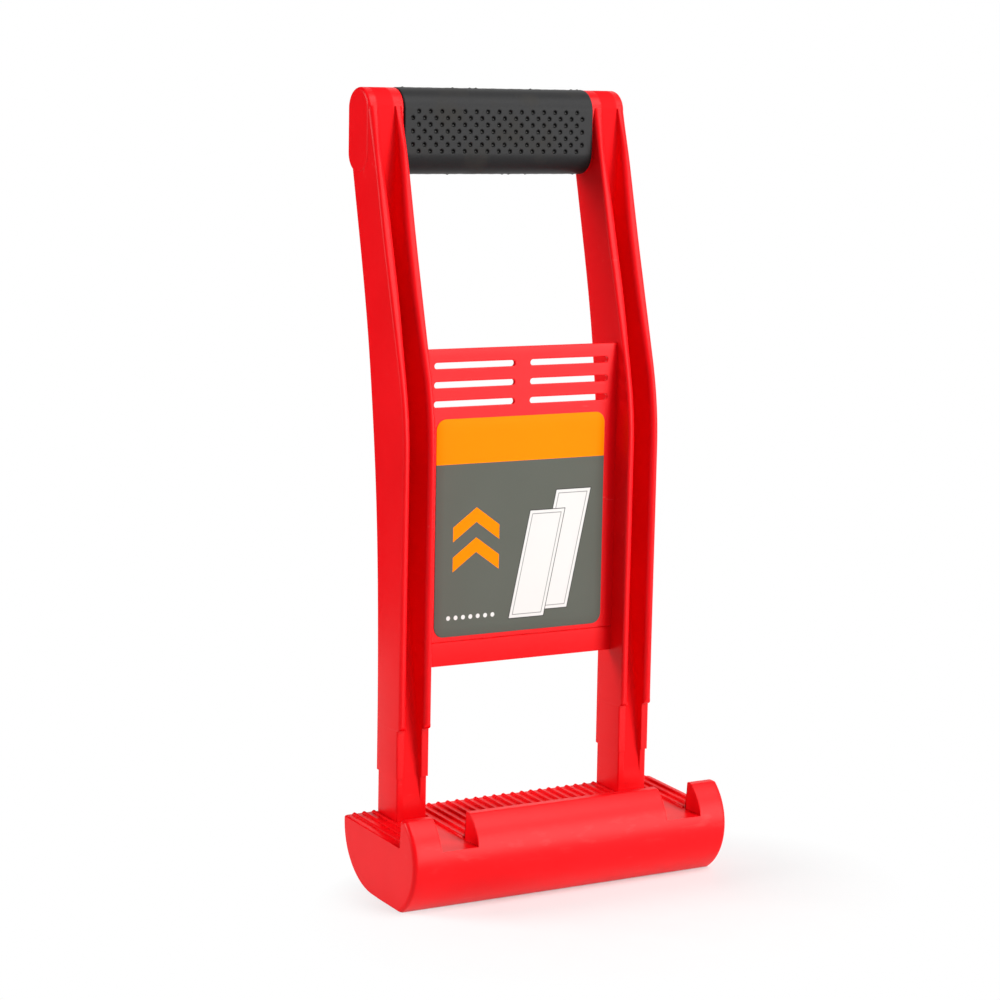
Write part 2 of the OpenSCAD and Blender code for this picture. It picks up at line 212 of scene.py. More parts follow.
def rail_front(v):
    """Front of the side walls: straight, then an arc of BEND_R, then a slope. The rib's lower end is a
    quarter ellipse."""
    start = BEND_V - BEND_R * math.tan(BEND / 2)
    on_arc = np.clip(v - start, 0, BEND_R * math.sin(BEND))
    bend = BEND_R - np.sqrt(BEND_R ** 2 - on_arc ** 2)
    slope = np.maximum(v - start - BEND_R * math.sin(BEND), 0) * math.tan(BEND)
    rib = RIB_FRONT + change(FRONT_FILLS, v) + change(FRONT_EASES, v) + bend + slope + change(FRONT_TOP, v)
    below_rib = np.clip((RIB_END + RIB_RISE - v) / RIB_RISE, 0, 1)
    end = LEG_FRONT - RIB_RISE * np.sqrt(1 - below_rib ** 2)
    return np.where(v <= RIB_END, LEG_FRONT, np.where(v < RIB_END + RIB_RISE, end, rib))


def rail_back(v):
    """Back of a rail: straight leg, then a circle of BACK_R from BACK_START on, bent more near the ear."""
    up = np.maximum(v - BACK_START, 0)
    return LEG_BACK + BACK_R - np.sqrt(BACK_R ** 2 - up ** 2) + change(BACK_TOP, v)


def channel_floor(v):
    """Floor of the channel: a slope from the lower tip, parallel to the back, then level with the ear."""
    up = np.maximum(v - BACK_START, 0)
    parallel = LEG_BACK + BACK_R - np.sqrt((BACK_R + BACK_T) ** 2 - up ** 2)
    return soft_min(soft_min(LEG_FRONT + (v - TIP_V) * TIP_SLOPE, parallel, TIP_BLEND), EAR_FRONT, EAR_BLEND)


some_v = np.array([60.0, 100.0, 200.0])
print("channel depth at 60, 100 and 200 mm:", np.round(channel_floor(some_v) - rail_front(some_v), 1))

# %% [markdown]
# The stations lie close together where the outline changes fast: at the step round the leg, at the rib's
# lower end, at the bend and at the ear. Below the step they are level, as the foot is, and they take on the
# frame's lean above it.

# %% Rail stations
STEP_Z, STEP_D, STEP_EDGE = 50.0, 0.6, 0.3
RAIL_LOW, STEP_UNDER, STEP_OVER, FULL_LEAN = 28.5, 49.6, 50.6, 68.0
RIB_UNDER, EAR_LOW, RAIL_TOP = 71.6, 340, 354
step_turn = np.radians([0, 25, 50, 70, 90])
leg_z = np.concatenate([[RAIL_LOW], np.arange(30, 49, 3), [STEP_UNDER]])
level_z = np.concatenate([leg_z, STEP_Z - STEP_EDGE + STEP_EDGE * np.sin(step_turn)])
level_in = np.concatenate([np.full(len(leg_z), STEP_D), STEP_D * np.cos(step_turn)])
rib_lift = RIB_END + RIB_RISE * (1 - np.cos(np.radians(np.linspace(0, 90, 9))))
upper_v = np.concatenate([np.linspace(STEP_OVER, RIB_UNDER, 14), rib_lift, np.arange(75, 195, 3),
                          np.arange(195, 240, 1.5), np.arange(240, EAR_LOW, 2.5),
                          np.linspace(EAR_LOW, RAIL_TOP, 18)])
station_v = np.concatenate([level_z / math.cos(LEAN), upper_v])
inset = np.concatenate([level_in, np.zeros(len(upper_v))])
tilt = np.concatenate([np.ones(len(level_z)), 1 - ease(STEP_OVER, FULL_LEAN, upper_v)]) * math.tan(LEAN)
print("rail stations:", len(station_v), "from", round(station_v[0], 1), "to", station_v[-1], "mm")

# %% Rail outline at every station
RAIL_IN, RAIL_OUT, SIDE_T = 52.6, 69.6, 4.0
INNER_TOP, OUTER_TOP = (240, 330, -0.5), (300, 322, -0.05)
LEG_WIDER = 0.7
LEG_NARROWS = (80, 130, LEG_WIDER)
WALL_GROWS, WALL_ENDS = (225, 275, 1.2), (295, 345, 1.0)
GRIP_W, GRIP_R, EAR_COVERS = 36.3, 10.0, 0.8
BACK_EDGE, BACK_EDGE_GROWS = 0.7, (90, 190, 1.3)
RIB_EDGE, RIB_EDGE_GROWS, RIB_EDGE_TOP = 0.7, (RIB_END, RIB_END + 3, 0.7), (325, 348, 0.8)
WALL_EDGE, WALL_EDGE_GROWS = 0.5, (RIB_END, RIB_END + 3, 1.9)
ROOT_R, MOST_OF_DEPTH = 2.2, 0.45


def rail_loop(v, inset):
    """Outline of a rail across its height, one column per station: arcs from the inner side round the
    back, over the outer wall and through the channel."""
    inner, outer = RAIL_IN + change(INNER_TOP, v) + inset, RAIL_OUT + change(OUTER_TOP, v) - inset
    front = rail_front(v) + inset
    back = np.minimum(rail_back(v), GRIP_W + GRIP_R - EAR_COVERS) - inset
    floor = np.maximum(channel_floor(v), front)
    most = MOST_OF_DEPTH * (floor - front)
    back_edge = BACK_EDGE + change(BACK_EDGE_GROWS, v)
    rib_edge = RIB_EDGE + change(RIB_EDGE_GROWS, v) + change(RIB_EDGE_TOP, v)
    wall_edge = np.minimum(WALL_EDGE + change(WALL_EDGE_GROWS, v), most)
    root = np.minimum(ROOT_R, most)
    wall = SIDE_T + change(WALL_GROWS, v) * (1 - change(WALL_ENDS, v))
    wall_in, wall_out = RAIL_IN + wall + change(INNER_TOP, v), RAIL_OUT - wall
    back_in = inner - LEG_WIDER + change(LEG_NARROWS, v)
    parts = [arc(back_in + back_edge, back - back_edge, back_edge, 180, 90, 7),
             arc(outer - back_edge, back - back_edge, back_edge, 90, 0, 7),
             arc(outer - rib_edge, front + rib_edge, rib_edge, 0, -90, 9),
             arc(wall_out + wall_edge, front + wall_edge, wall_edge, -90, -180, 9),
             arc(wall_out - root, floor - root, root, 0, 90, 6),
             arc(wall_in + root, floor - root, root, 90, 180, 6),
             arc(wall_in - wall_edge, front + wall_edge, wall_edge, 0, -90, 9),
             arc(inner + rib_edge, front + rib_edge, rib_edge, -90, -180, 9)]
    return np.concatenate([p[0] for p in parts]), np.concatenate([p[1] for p in parts])


loop_x, loop_w = rail_loop(station_v, inset)
rail_body = leaned(loop_x.T, loop_w.T, station_v[:, None] + tilt[:, None] * loop_w.T)
print("points round a rail:", loop_x.shape[0])

# %% [markdown]
# ## Ears
# Each rail ends in an ear, a rounded block that holds the grip's end, a little proud of the rail's outer
# side. Its outline is an upright stadium: a circle whose upper and lower halves are pulled apart. A block
# with a bevel would do from afar, but its edge is a little rounder behind than in front, so the ear is a
# surface from the middle of the inner face, over the rim, to the middle of the outer face.

# %% Ear surface
GRIP_V, EAR_W, EAR_R, EAR_FLAT = 342.6, 36.7, 9.6, 20.0
EAR_IN, EAR_OUT, INNER_EDGE = 51.35, 69.95, 0.3
RIM, RIM_SWING = 1.7, 0.1
INNER_FLAT, OUTER_FLAT = 1.2, 0.6
half_turn = np.linspace(0, math.pi, 29)
around = np.concatenate([half_turn, -half_turn[::-1]])[None, :]
pull = np.repeat([EAR_FLAT / 2, -EAR_FLAT / 2], len(half_turn))[None, :]
ones = np.ones_like(around)
rim = RIM + RIM_SWING * np.cos(around)
bend_in, bend_out = np.radians(column(0, 90, 5)), np.radians(column(0, 90, 11))
ear_x = np.concatenate([EAR_IN * ones, EAR_IN * ones, EAR_IN + INNER_EDGE * (1 - np.cos(bend_in)) * ones,
                        EAR_OUT - rim + rim * np.sin(bend_out), EAR_OUT * ones, EAR_OUT * ones])
ear_r = np.concatenate([0 * ones, (EAR_R - INNER_FLAT) * ones,
                        EAR_R - INNER_EDGE * (1 - np.sin(bend_in)) * ones,
                        EAR_R - rim * (1 - np.cos(bend_out)), EAR_R - rim - OUTER_FLAT, 0 * ones])
ear = leaned(ear_x, EAR_W + ear_r * np.cos(around), GRIP_V + ear_r * np.sin(around) + pull)
print("ear height:", round(2 * EAR_R + EAR_FLAT, 1), "mm, rings:", len(ear))

# %% Both rails
mirror_x = np.array([-1.0, 1.0, 1.0])
right_rail = make_piece("right_rail_moulding", [(rail_body, False), (ear, False)])
left_rail = make_piece("left_rail_moulding", [(rail_body * mirror_x, False), (ear * mirror_x, False)])

# %% [markdown]
# ## Foot tray
# The foot is a hollow boat shape: a round nose, a lip that hooks over the board, a ribbed shelf and a
# round back. It could be cut from a block with booleans, but they leave poor edges. So all of it is one
# section carried along X, with stations at every rib, at the notches' edges and at the rounded ends.

# %% Foot stations
FOOT_HALF, COVER_HALF, END_R = 85.4, 82.35, 2.0
NOTCH_IN, NOTCH_OUT, NOTCH_EDGE = 51.6, 70.7, 0.5
RIB_PITCH, RIB_R, RIB_HALF, OUTER_RIB, RIBS_END = 5.13, 1.15, 0.8, 70.5, 81.9
LEAST_GAP, END_GAP, IN_NOTCH = 0.02, 0.05, (53, 57, 61, 65, 68)
ribs = np.concatenate([np.arange(11) * RIB_PITCH, OUTER_RIB + np.arange(3) * RIB_PITCH])
rib_samples = (ribs[:, None] + RIB_HALF * np.sin(np.radians(np.linspace(-90, 90, 11)))).ravel()
edge_steps = NOTCH_EDGE * (1 - np.sin(np.radians(np.linspace(0, 90, 6))))


def stations_between(low, high, extra):
    """Sorted X places between two ends: the ends, the rib samples between them, and the rounding's own."""
    inside = rib_samples[(rib_samples > low + LEAST_GAP) & (rib_samples < high - LEAST_GAP)]
    return np.unique(np.round(np.concatenate([[low, high], inside, extra]), 4))


middle = stations_between(0, NOTCH_IN, NOTCH_IN - edge_steps)
notch = stations_between(NOTCH_IN, NOTCH_OUT, IN_NOTCH)
beyond = stations_between(NOTCH_OUT, COVER_HALF, NOTCH_OUT + edge_steps)
end = FOOT_HALF - END_R * (1 - np.sin(np.radians(np.linspace(0, 90, 10))))
end = np.concatenate([[COVER_HALF], end[end > COVER_HALF + END_GAP], [FOOT_HALF]])
half_x = np.concatenate([middle, notch, beyond, end])
half_part = np.repeat([0, 1, 2, 3], [len(middle), len(notch), len(beyond), len(end)])
foot_x = np.concatenate([-half_x[:0:-1], half_x])
part = np.concatenate([half_part[:0:-1], half_part])
print("foot stations:", len(foot_x))

# %% [markdown]
# Each station knows four things: how high a rib stands on it, how far the lip's edge is drawn in beside a
# notch, how far the whole section is drawn in at the rounded ends, and whether the cover's recess is there.

# %% What each foot station knows
FOOT_WALL, FAR_OFF, LAST_DRAW = 3.0, 9.0, 0.5
away = np.abs(foot_x)
has_lip = part != 1
recess = np.where(part == 3, 0.0, FOOT_WALL)
rib_gap = np.abs(away[:, None] - ribs[None, :]).min(1)
rib_h = RIB_R * np.sqrt(np.maximum(1 - (rib_gap / RIB_HALF) ** 2, 0)) * (away < RIBS_END)
to_wall = np.where(part == 0, NOTCH_IN - away, np.where(part == 2, away - NOTCH_OUT, FAR_OFF))
reach_in = np.clip(1 - to_wall / NOTCH_EDGE, 0, 1)
lip_in = NOTCH_EDGE * (1 - np.sqrt(1 - reach_in ** 2))
reach_end = np.clip(1 - (FOOT_HALF - away) / END_R, 0, 1)
end_in = END_R * (1 - np.sqrt(1 - reach_end ** 2))
end_in[[0, -1]] += LAST_DRAW
print("stations with a lip:", has_lip.sum(), "highest rib:", rib_h.max(), "mm")

# %% Nose and lip of the foot
NOSE_Y, NOSE_Z, NOSE_R = 3.451, 21.4, 26.6
LIP_Y, LIP_Z, LIP_EDGE, LIP_INNER_EDGE, LIP_ROOT, LIP_RUN = -9.1, 42.5, 1.0, 0.45, 0.5, 0.3
SHELF_Z = 29.5
LIP_SHARE, FACE_SHARE, SHELF_SHARE, UNDER_SHARE = 0.8, 0.15, 0.2, 0.25
nose_r, shelf, under = NOSE_R - end_in, SHELF_Z - SHELF_SHARE * end_in, UNDER_SHARE * end_in
low_turn, shelf_turn = np.arcsin((under - NOSE_Z) / nose_r), np.arcsin((SHELF_Z - NOSE_Z) / nose_r)


def on_nose(angle, radius):
    """The y and z of a point on the nose, by its angle above the nose's centre."""
    return NOSE_Y - radius * np.cos(angle), NOSE_Z + radius * np.sin(angle)


def stacked(parts):
    """Stretches of a section, one below the other, each spread over all stations."""
    spread = [np.broadcast_arrays(y, z, np.zeros((1, len(foot_x))))[:2] for y, z in parts]
    return np.concatenate([y for y, z in spread]), np.concatenate([z for y, z in spread])


def lip_section():
    """The nose carried on upwards, a round edge, the lip's inner edge and its root on the shelf. At the
    notches all of it but the last point is pressed down to the shelf."""
    top, face = LIP_Z - lip_in - LIP_SHARE * end_in, LIP_Y - lip_in - FACE_SHARE * end_in
    edge_r = nose_r - lip_in - LIP_EDGE
    tip = np.arcsin((top - LIP_EDGE - NOSE_Z) / edge_r)
    t, turn = column(0, 1, 15)[1:], tip + (math.pi / 2 - tip) * column(0, 1, 8)[1:]
    edge_y = NOSE_Y - edge_r * np.cos(tip)
    y, z = stacked([on_nose(shelf_turn + (tip - shelf_turn) * t, nose_r - lip_in * ease(0, LIP_RUN, t)),
                    (edge_y - LIP_EDGE * np.cos(turn), top - LIP_EDGE + LIP_EDGE * np.sin(turn)),
                    arc(face - LIP_INNER_EDGE, top - LIP_INNER_EDGE, LIP_INNER_EDGE, 90, 0, 7),
                    arc(face + LIP_ROOT, shelf + LIP_ROOT, LIP_ROOT, 180, 270, 5)])
    z[:-1] = np.where(has_lip, z[:-1], SHELF_Z)
    y[:-1] = np.where(has_lip, y[:-1], np.minimum(y[:-1], LIP_Y))
    return y, z


nose_part = on_nose(low_turn + (shelf_turn - low_turn) * column(0, 1, 27), nose_r)
lip_part = lip_section()
print("lip from", round(lip_part[1].min(), 2), "to", round(lip_part[1].max(), 2), "mm above the floor")

# %% Shelf, back and underside of the foot
FLAT_BACK, SHELF_UNDER, COVER_FRONT = 12.35, 26.0, -6.5
RUN_END, SHELF_EDGE, EDGE_ROOM, EDGE_LAST, EDGE_DROP = 40.05, 0.6, 0.7, 8, 1.2
BACK_SHARE, UNDER_Y, FRONT_STEP = 0.4, (6.0, 0.0), 0.5
SHELF_RUN, RIB_TURNS = (-8, 0, 10, 22, 36), (0, 20, 40, 60, 75, 90)


def back_section():
    """The ribbed shelf, whose ribs end in a quarter circle, its round back edge, the round back, which
    steps in where the cover sits, and the flat underside."""
    ring = SHELF_Z - BACK_SHARE * end_in
    back = FLAT_BACK + ring
    rib_end = RUN_END + RIB_R * np.sin(np.radians(RIB_TURNS))
    run = np.concatenate([SHELF_RUN, rib_end])[:, None]
    fade = np.sqrt(1 - np.clip((run - RUN_END) / RIB_R, 0, 1) ** 2)
    edge_y, edge_z = arc(back - SHELF_EDGE, shelf - SHELF_EDGE, SHELF_EDGE, 90, EDGE_LAST, 5)
    drop = column(SHELF_Z - EDGE_DROP, SHELF_UNDER, 3)
    turn = column(math.asin((SHELF_Z - SHELF_UNDER) / SHELF_Z), math.pi / 2, 21)
    return stacked([(np.minimum(run, back - EDGE_ROOM), shelf + rib_h * fade),
                    (edge_y[1:], edge_z[1:]),
                    (FLAT_BACK + np.sqrt(ring ** 2 - (SHELF_Z - drop) ** 2), drop),
                    (FLAT_BACK + (ring - recess) * np.cos(turn), SHELF_Z - (ring - recess) * np.sin(turn)),
                    (np.array([*UNDER_Y, COVER_FRONT])[:, None], recess + under),
                    (np.array([COVER_FRONT, COVER_FRONT - FRONT_STEP])[:, None], under)])


section_y, section_z = stacked([nose_part, lip_part, back_section()])
tray = np.stack([np.broadcast_to(foot_x[:, None], section_y.T.shape), section_y.T, section_z.T], -1)
foot_tray = make_piece("foot_tray_moulding", [(tray, False)])

# %% [markdown]
# ## Grip sleeve
# The sleeve is soft black rubber with staggered rows of round pits, and a thin parting line along its
# top and bottom. Pits this small could be painted with bump, but they show their depth in the light, so
# the grid is made fine enough to sink them: each pit is a small cup with steep sides.

# %% Sleeve grid
SLEEVE_HALF, SLEEVE_R, BORE_R, GRIP_FLAT = 51.3, 10.15, 7.6, 19.2
PIT_PITCH, PIT_ROW, PIT_SHIFT = 6.16, 3.02, -0.8
STEPS_ALONG, STEPS_ACROSS = 24, 10
END_STEPS = np.array([0, 0.05, 0.18, 0.4])
quarter = GRIP_FLAT / 2 + math.pi / 2 * SLEEVE_R
fine_s = np.arange(-36, 37) * PIT_ROW / STEPS_ACROSS
run_up = np.concatenate([np.linspace(-quarter, fine_s[0], 17)[:-1], fine_s,
                         np.linspace(fine_s[-1], quarter, 17)[1:]])
side = np.concatenate([-np.ones(len(run_up)), np.ones(len(run_up) - 2)])
girth = np.concatenate([run_up, -run_up[1:-1]])
past = np.maximum(np.abs(girth) - GRIP_FLAT / 2, 0) / SLEEVE_R
out_w, out_v = side * np.cos(past), np.sign(girth) * np.sin(past)
flat_v = np.clip(girth, -GRIP_FLAT / 2, GRIP_FLAT / 2)
fine_x = PIT_SHIFT + np.arange(-194, 201) * PIT_PITCH / STEPS_ALONG
sleeve_x = np.concatenate([-SLEEVE_HALF + END_STEPS, fine_x, SLEEVE_HALF - END_STEPS[::-1]])
grid_x, grid_s = sleeve_x[:, None], girth[None, :]
print("sleeve grid:", len(sleeve_x), "by", len(girth), "points")

# %% Pits, their painted shade and their painted highlight
PIT_R, PIT_FLOOR, PIT_DEPTH = 1.08, 0.55, 1.2
# SPOT_X and SPOT_S shift the painted highlight in each pit to the right of and below the pit's middle.
SPOT_X, SPOT_S, SPOT_FULL, SPOT_END = 0.5, -0.22, 0.14, 0.42
WALL_START, WALL_SPAN = 0.12, 0.25
LONG_ROWS, SHORT_ROWS = ((-2, 0, 2), 0.5, 7.5), ((-3, -1, 1, 3), 0.0, 7.0)
NO_PIT = 99.0


def to_pit(x, s):
    """Distance to the nearest pit's middle, in pit radii. Rows come as their places, in row pitches, the
    shift of their pits, and the last pit, in pit pitches."""
    nearest = np.full(np.broadcast(x, s).shape, NO_PIT)
    for rows, shift, last in (LONG_ROWS, SHORT_ROWS):
        pit_x = np.clip(np.round(x / PIT_PITCH - shift) + shift, -last, last) * PIT_PITCH
        places = np.array(rows) * PIT_ROW
        pit_s = places[np.abs(s[..., None] - places).argmin(-1)]
        nearest = np.minimum(nearest, np.hypot(x - pit_x, s - pit_s) / PIT_R)
    return nearest


pit = 1 - ease(PIT_FLOOR, 1.0, to_pit(grid_x - PIT_SHIFT, grid_s))
# Painted highlight: a pale spot on each pit's lower right wall, where light would catch it.
painted_glint = 1 - ease(SPOT_FULL, SPOT_END, to_pit(grid_x - PIT_SHIFT - SPOT_X, grid_s - SPOT_S))
# pit_mark is 1 where a pit's walls and floor are painted dark as shade, and 2 on the painted highlight in
# each pit.
pit_mark = np.maximum(np.clip((pit - WALL_START) / WALL_SPAN, 0, 1), 2 * painted_glint)
print("share of the sleeve inside pits:", round(float((pit > 0.5).mean()), 3))

# %% [markdown]
# Rubber creeps a little between the mould's two halves. That leaves a thin fin along the top and the bottom,
# wavy and torn off in most places, with a few tatters left standing.

# %% Parting line and sleeve
SEAM_W, FIN, FIN_WAVE, FIN_MOST, SHORT_WAVE, LONG_WAVE = 0.5, 0.06, 0.05, 0.36, 0.9, 0.37
TATTERS, TATTER_H, TATTER_W = (-48.6, -45.2, -22.4, 7.6, 11.0, 20.3, 47.0), 0.3, 0.55
END_EDGE = END_STEPS[-1]
seam = np.exp(-((np.abs(grid_s) - quarter) / SEAM_W) ** 2)
tatter_x = np.where(grid_s > 0, -1.0, 1.0) * np.array(TATTERS)[:, None, None]
tatters = TATTER_H * np.exp(-((grid_x - tatter_x) / TATTER_W) ** 2).sum(0)
ragged = FIN + FIN_WAVE * np.sin(grid_x * SHORT_WAVE) * np.sin(grid_x * LONG_WAVE + 1) + tatters
near_end = np.clip(np.maximum(np.abs(grid_x) - (SLEEVE_HALF - END_EDGE), 0) / END_EDGE, 0, 1)
end_round = END_EDGE * (1 - np.sqrt(1 - near_end ** 2))
sleeve_r = SLEEVE_R - PIT_DEPTH * pit + seam * np.clip(ragged, 0, FIN_MOST) - end_round
sleeve = leaned(grid_x, GRIP_W + sleeve_r * out_w, GRIP_V + flat_v + sleeve_r * out_v)
bore_x = np.array([SLEEVE_HALF, 0, -SLEEVE_HALF])[:, None]
bore = leaned(bore_x, GRIP_W + BORE_R * out_w, GRIP_V + flat_v + BORE_R * out_v)
marks = np.concatenate([pit_mark, np.zeros((len(bore), len(girth)))])
grip = make_piece("grip_sleeve_rubber", [(np.concatenate([sleeve, bore]), True)], sharp=60, values=marks)

# %% [markdown]
# ## Web panel
# The web is a thin plate between the rails with six slots, and a fine groove marks off its lower band. A
# plate with holes is no single grid, and a boolean would leave long thin faces. So it is put together from
# sheets that share their borders: one ring round each slot, one sheet below the slots and one above. The
# plate's ends, hidden in the rails, are filled.

# %% Ring round a slot
WEB_HALF, WEB_W, WEB_T = 54.6, 3.0, 1.8
SLOT_H, SLOT_PITCH, SLOT_IN, SLOT_OUT, SLOT_EDGE, SLOT_FLAT = 2.9, 8.8, 4.2, 47.5, 0.3, 0.25
ALONG, BESIDE = 20, 12
along, beside = np.linspace(0, 1, ALONG + 1), np.linspace(0, 1, BESIDE + 1)
round_off = np.radians(np.linspace(0, 90, 5))


def rounded_walls(edge, first, last):
    """How far a plate's wall is drawn in, and how deep it lies, from its front over two round edges to
    its back."""
    rise, fall = edge * (1 - np.sin(round_off)), edge * (1 - np.cos(round_off))
    drawn_in = np.concatenate([[first], rise, rise[::-1], [last]])
    return drawn_in, np.concatenate([[0], fall, WEB_T - fall[::-1], [WEB_T]])


def slot_ring(centre_v, mirror):
    """Grid from a slot's cell in the front, over its rounded wall, to the cell in the back. Round the
    ring the slot's two half circles answer to the cell's sides, and its straight edges to the cell's top
    and bottom."""
    turn, flat = math.pi * (beside[:-1] - 0.5), np.ones(ALONG)
    r, h = SLOT_H / 2, SLOT_PITCH / 2
    near, far = SLOT_IN + r, SLOT_OUT - r
    nx = np.concatenate([np.cos(turn), 0 * flat, -np.cos(turn), 0 * flat])
    nv = np.concatenate([np.sin(turn), flat, -np.sin(turn), -flat])
    slot_x = np.concatenate([far + r * np.cos(turn), far + (near - far) * along[:-1],
                             near - r * np.cos(turn), near + (far - near) * along[:-1]])
    cell_x = np.concatenate([np.full(BESIDE, WEB_HALF), WEB_HALF * (1 - along[:-1]),
                             np.zeros(BESIDE), WEB_HALF * along[:-1]])
    cell_v = np.concatenate([h * (2 * beside[:-1] - 1), h * flat, h * (1 - 2 * beside[:-1]), -h * flat])
    grow, deep = rounded_walls(SLOT_EDGE, SLOT_EDGE + SLOT_FLAT, SLOT_EDGE + SLOT_FLAT)
    x = np.concatenate([cell_x[None], slot_x + nx * grow[:, None], cell_x[None]])
    v = np.concatenate([cell_v[None], r * nv + nv * grow[:, None], cell_v[None]])
    w = WEB_W + np.concatenate([[0], deep, [WEB_T]])[:, None]
    return leaned(x * mirror, w, v + centre_v)


print("slot:", round(SLOT_OUT - SLOT_IN, 1), "by", SLOT_H, "mm, points round it:", 2 * (ALONG + BESIDE))

# %% Web sheets
WEB_LOW, WEB_HIGH, WEB_EDGE, SLOT_DROP = 98.2, 245.0, 0.4, 7.7
GROOVE_V, GROOVE_HALF, GROOVE_D, GROOVE_POWER, BAND_V = 109.6, 0.35, 0.6, 0.6, 150
slot_v = WEB_HIGH - SLOT_DROP - SLOT_PITCH * np.arange(3)
first_v, last_v = slot_v[-1] - SLOT_PITCH / 2, slot_v[0] + SLOT_PITCH / 2
edge_x = np.sort(WEB_HALF * np.concatenate([along, -along[1:]]))
groove = np.linspace(1, -1, 9)
edge_in, edge_deep = rounded_walls(WEB_EDGE, 0, 0)
low_w = np.concatenate([[0, 0], GROOVE_D * np.cos(groove * math.pi / 2) ** GROOVE_POWER, edge_deep[1:]])
low_v = np.concatenate([[first_v, BAND_V], GROOVE_V + GROOVE_HALF * groove, WEB_LOW + edge_in[1:-1],
                        [first_v]])
top_v = np.concatenate([[last_v], WEB_HIGH - edge_in[1:-1], [last_v]])
below = leaned(edge_x[None], WEB_W + low_w[:, None], low_v[:, None])
over_slots = leaned(edge_x[None], WEB_W + edge_deep[:, None], top_v[:, None])
rings = [(slot_ring(v, hand), True) for v in slot_v for hand in (1, -1)]
web = make_piece("web_panel_plate", [], rings + [(below, False), (over_slots, False)], sharp=40)

# %% [markdown]
# ## Label
# A thin printed film with round corners lies on the web. A flat plane would have no edge to catch the light.
# So its outline, a rounded rectangle, is drawn in towards its middle ring by ring, and the film has a top, a
# thin edge and a back.

# %% Label surface
LABEL_W, LABEL_H, LABEL_R, LABEL_T, LABEL_V = 92.0, 101.0, 5.0, 0.3, 162.3
RINGS_IN = (4.9, 0.12, 0.03, 0.0, 0.0, 4.9)
quarter_turn = np.radians(np.linspace(0, 90, 13))
turns = np.concatenate([quarter_turn + k * math.pi / 2 for k in range(4)])
hub_x = np.repeat([1, -1, -1, 1], len(quarter_turn)) * (LABEL_W / 2 - LABEL_R)
hub_v = np.repeat([1, 1, -1, -1], len(quarter_turn)) * (LABEL_H / 2 - LABEL_R)
ring_r = LABEL_R - np.array(RINGS_IN)[:, None]
height = np.array([LABEL_T, LABEL_T, LABEL_T - 0.04, LABEL_T - 0.12, 0.0, 0.0])[:, None]
film = leaned(hub_x + ring_r * np.cos(turns), WEB_W - height, LABEL_V + hub_v + ring_r * np.sin(turns))
label = make_piece("label_film_sheet", [(film, False)])

# %% [markdown]
# ## Shader arithmetic
# Finishes are built from nodes. They could be wired one by one, but a mask is easier to read as a sum or a
# product. So a small class wraps a socket, and everything else comes from one method that takes a node's
# type, settings and inputs.

# %% Wire class
class Wire:
    """A socket of a node tree that takes part in sums and products like a number."""

    def __init__(self, tree, socket=None):
        self.tree, self.socket = tree, socket

    def make(self, kind, settings=None, inputs=None, out=0):
        """Adds a node: settings first, then its inputs by name or number. Gives its output, if any."""
        node = self.tree.nodes.new(kind)
        for name, value in (settings or {}).items():
            setattr(node, name, value)
        for name, value in (inputs or {}).items():
            if isinstance(value, Wire):
                self.tree.links.new(value.socket, node.inputs[name])
            else:
                node.inputs[name].default_value = value
        return Wire(self.tree, node.outputs[out]) if node.outputs else None

    def math(self, operation, *values):
        return self.make("ShaderNodeMath", {"operation": operation}, dict(enumerate(values)))

    def __add__(self, other):
        return self.math("ADD", self, other)

    def __sub__(self, other):
        return self.math("SUBTRACT", self, other)

    def __rsub__(self, other):
        return self.math("SUBTRACT", other, self)

    def __mul__(self, other):
        return self.math("MULTIPLY", self, other)

    def __truediv__(self, other):
        return self.math("DIVIDE", self, other)

    def __rtruediv__(self, other):
        return self.math("DIVIDE", other, self)

    def __abs__(self):
        return self.math("ABSOLUTE", self)

    __radd__, __rmul__ = __add__, __mul__

    def above(self, low, high):
        """0 below low, 1 above high, straight between."""
        return self.make("ShaderNodeMapRange", {"clamp": True}, {0: self, 1: low, 2: high, 3: 0.0, 4: 1.0})

    def mix(self, first, second):
        """A colour between two, by this wire's value."""
        return self.make("ShaderNodeMix", {"data_type": "RGBA"}, {0: self, 6: first, 7: second}, out=2)

    def noise(self, scale, detail=2.0):
        """Noise over this place, from 0 to 1: scale in waves per metre, detail in finer layers."""
        return self.make("ShaderNodeTexNoise", None, {"Vector": self, "Scale": scale, "Detail": detail})

    def length(self):
        """Length of this vector."""
        return self.make("ShaderNodeVectorMath", {"operation": "LENGTH"}, {0: self}, out="Value")

    def moved(self, way):
        """This place, shifted, turned and stretched as a mapping says."""
        return self.make("ShaderNodeMapping", None, {"Vector": self, **way})

    def bump(self, strength, distance):
        """A normal tipped as if this value, times a distance in metres, were the surface's height."""
        inputs = {"Strength": strength, "Distance": distance, "Height": self}
        return self.make("ShaderNodeBump", None, inputs)

    def axes(self):
        """The x, y and z of this place."""
        outputs = self.make("ShaderNodeSeparateXYZ", None, {0: self}).socket.node.outputs
        return [Wire(self.tree, output) for output in outputs]


print("reflected operators of a wire:", sorted(name for name in vars(Wire) if name.startswith("__r")))

# %% Start and end of a finish
def new_finish(name):
    """An empty material, its tree as a wire, and its Object coordinates in metres."""
    material = bpy.data.materials.new(name)
    material.use_nodes = True
    material.node_tree.nodes.clear()
    tree = Wire(material.node_tree)
    return material, tree, tree.make("ShaderNodeTexCoord", out="Object")


def finish_off(tree, kind, inputs):
    """Makes a shader and joins it to the material's output."""
    surface = tree.make(kind, None, inputs)
    tree.make("ShaderNodeOutputMaterial", None, {"Surface": surface})


def grey(value):
    """A colour of three equal parts."""
    return (value, value, value, 1)


print("a middle grey:", grey(0.5))

